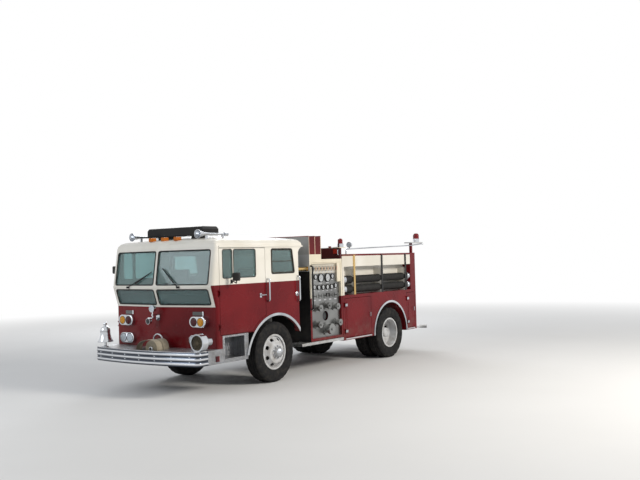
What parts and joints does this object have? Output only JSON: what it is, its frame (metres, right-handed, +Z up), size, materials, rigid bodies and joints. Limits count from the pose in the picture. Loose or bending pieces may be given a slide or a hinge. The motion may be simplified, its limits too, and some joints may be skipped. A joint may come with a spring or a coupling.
{
  "type": "fire engine",
  "caption": "Cab-forward pumping fire engine with canopy cab, midship pump panels, crosslay trays, open hose bed, side lockers and tailboard.",
  "frame": {"origin": "on the ground under the middle of the overall length and width", "axes": "+X to the vehicle's left, -Y forward, +Z up"},
  "size_m": [2.85, 7.5496, 2.7348],
  "materials": {
    "frame_steel": "satin black chassis paint",
    "axle_iron": "cast, painted black",
    "engine_paint": "painted cast iron",
    "pipe_steel": "heat-dulled steel",
    "tank_paint": "satin",
    "chrome": "bright",
    "tread_plate": "tread-pattern aluminium",
    "red_paint": "gloss dark red",
    "white_paint": "gloss off-white",
    "door_paint": "gloss, off-white over dark red",
    "glass": "tinted",
    "cab_trim": "dull grey",
    "dark_plastic": "grained",
    "seat_vinyl": "black vinyl",
    "panel_steel": "brushed stainless",
    "crosslay_metal": "brushed edges over dark red",
    "beige_hose": "woven jacket",
    "black_rubber": "ribbed",
    "tyre": "matt black",
    "wheel_paint": "silver",
    "ladder_metal": "satin",
    "black_plastic": "gloss",
    "lens_clear": "clear",
    "lens_colour": "red and amber"
  },
  "bodies": {
    "chassis": {"frame_rails": "frame_steel", "front_axle_beam": "axle_iron", "rear_axle_housing": "axle_iron", "leaf_springs": "frame_steel", "powertrain": "engine_paint", "exhaust_system": "pipe_steel", "tanks": "tank_paint", "front_bumper": "chrome", "bumper_deck": "tread_plate", "cab_steps": "tread_plate", "cab_body": "red_paint", "cab_roof": "white_paint", "cab_glass": "glass", "cab_tub": "cab_trim", "engine_cover": "cab_trim", "dashboard": "dark_plastic", "cab_seats": "seat_vinyl", "arch_trim": "chrome", "pump_module": "white_paint", "pump_panels": "panel_steel", "crosslay_bed": "crosslay_metal", "hose_body": "white_paint", "lower_body": "red_paint", "hose_tail": "beige_hose", "step_boards": "tread_plate", "grab_rails": "chrome", "light_bar": "black_plastic", "air_horns": "chrome", "siren": "chrome", "bell": "chrome", "lamp_housings": "chrome", "clear_lenses": "lens_clear", "coloured_lenses": "lens_colour", "wipers": "black_plastic", "hose_roll": "beige_hose", "hose_coupling": "chrome", "suction_hoses": "black_rubber", "ladder": "ladder_metal"},
    "tie_rod": {"tie_rod": "axle_iron"},
    "steer_left": {"knuckle_left": "axle_iron"},
    "front_wheel_left": {"tyre_front_left": "tyre", "rim_front_left": "wheel_paint"},
    "rear_wheels_left": {"tyres_rear_left": "tyre", "rims_rear_left": "wheel_paint"},
    "cab_door_left": {"door_left": "door_paint", "door_glass_left": "glass", "door_fittings_left": "chrome"},
    "front_locker_door_left": {"locker_door_front_left": "red_paint"},
    "rear_locker_door_left": {"locker_door_rear_left": "red_paint"},
    "steer_right": {"knuckle_right": "axle_iron"},
    "front_wheel_right": {"tyre_front_right": "tyre", "rim_front_right": "wheel_paint"},
    "rear_wheels_right": {"tyres_rear_right": "tyre", "rims_rear_right": "wheel_paint"},
    "cab_door_right": {"door_right": "door_paint", "door_glass_right": "glass", "door_fittings_right": "chrome"},
    "front_locker_door_right": {"locker_door_front_right": "red_paint"},
    "rear_locker_door_right": {"locker_door_rear_right": "red_paint"}
  },
  "joints": [
    {"name": "steer_left", "type": "hinge", "parent": "chassis", "child": "steer_left", "pos_m": [0.865, -1.665, 0.527], "axis": [0, 0, 1], "range_deg": [-32, 32]},
    {"name": "front_wheel_spin_left", "type": "hinge", "parent": "steer_left", "child": "front_wheel_left", "pos_m": [1.015, -1.665, 0.527], "axis": [1, 0, 0], "continuous": true},
    {"name": "rear_wheel_spin_left", "type": "hinge", "parent": "chassis", "child": "rear_wheels_left", "pos_m": [0.885, 2.175, 0.527], "axis": [1, 0, 0], "continuous": true},
    {"name": "cab_door_hinge_left", "type": "hinge", "parent": "chassis", "child": "cab_door_left", "pos_m": [1.222, -3.117, 1.5], "axis": [0, 0, -1], "range_deg": [0, 70]},
    {"name": "front_locker_hinge_left", "type": "hinge", "parent": "chassis", "child": "front_locker_door_left", "pos_m": [1.212, 0.461, 0.95], "axis": [0, 0, -1], "range_deg": [0, 100]},
    {"name": "rear_locker_hinge_left", "type": "hinge", "parent": "chassis", "child": "rear_locker_door_left", "pos_m": [1.212, 2.881, 0.95], "axis": [0, 0, -1], "range_deg": [0, 100]},
    {"name": "steer_right", "type": "hinge", "parent": "chassis", "child": "steer_right", "pos_m": [-0.865, -1.665, 0.527], "axis": [0, 0, 1], "range_deg": [-32, 32]},
    {"name": "front_wheel_spin_right", "type": "hinge", "parent": "steer_right", "child": "front_wheel_right", "pos_m": [-1.015, -1.665, 0.527], "axis": [1, 0, 0], "continuous": true},
    {"name": "rear_wheel_spin_right", "type": "hinge", "parent": "chassis", "child": "rear_wheels_right", "pos_m": [-0.885, 2.175, 0.527], "axis": [1, 0, 0], "continuous": true},
    {"name": "cab_door_hinge_right", "type": "hinge", "parent": "chassis", "child": "cab_door_right", "pos_m": [-1.222, -3.117, 1.5], "axis": [0, 0, 1], "range_deg": [0, 70]},
    {"name": "front_locker_hinge_right", "type": "hinge", "parent": "chassis", "child": "front_locker_door_right", "pos_m": [-1.212, 0.461, 0.95], "axis": [0, 0, 1], "range_deg": [0, 100]},
    {"name": "rear_locker_hinge_right", "type": "hinge", "parent": "chassis", "child": "rear_locker_door_right", "pos_m": [-1.212, 2.881, 0.95], "axis": [0, 0, 1], "range_deg": [0, 100]},
    {"name": "tie_rod_pivot", "type": "hinge", "parent": "steer_left", "child": "tie_rod", "pos_m": [0.865, -1.465, 0.388], "axis": [0, 0, 1], "range_deg": [-32, 32]}
  ],
  "couplings": [
    {"joint": "steer_right", "follows": "steer_left", "ratio": 1},
    {"joint": "tie_rod_pivot", "follows": "steer_left", "ratio": -1}
  ]
}
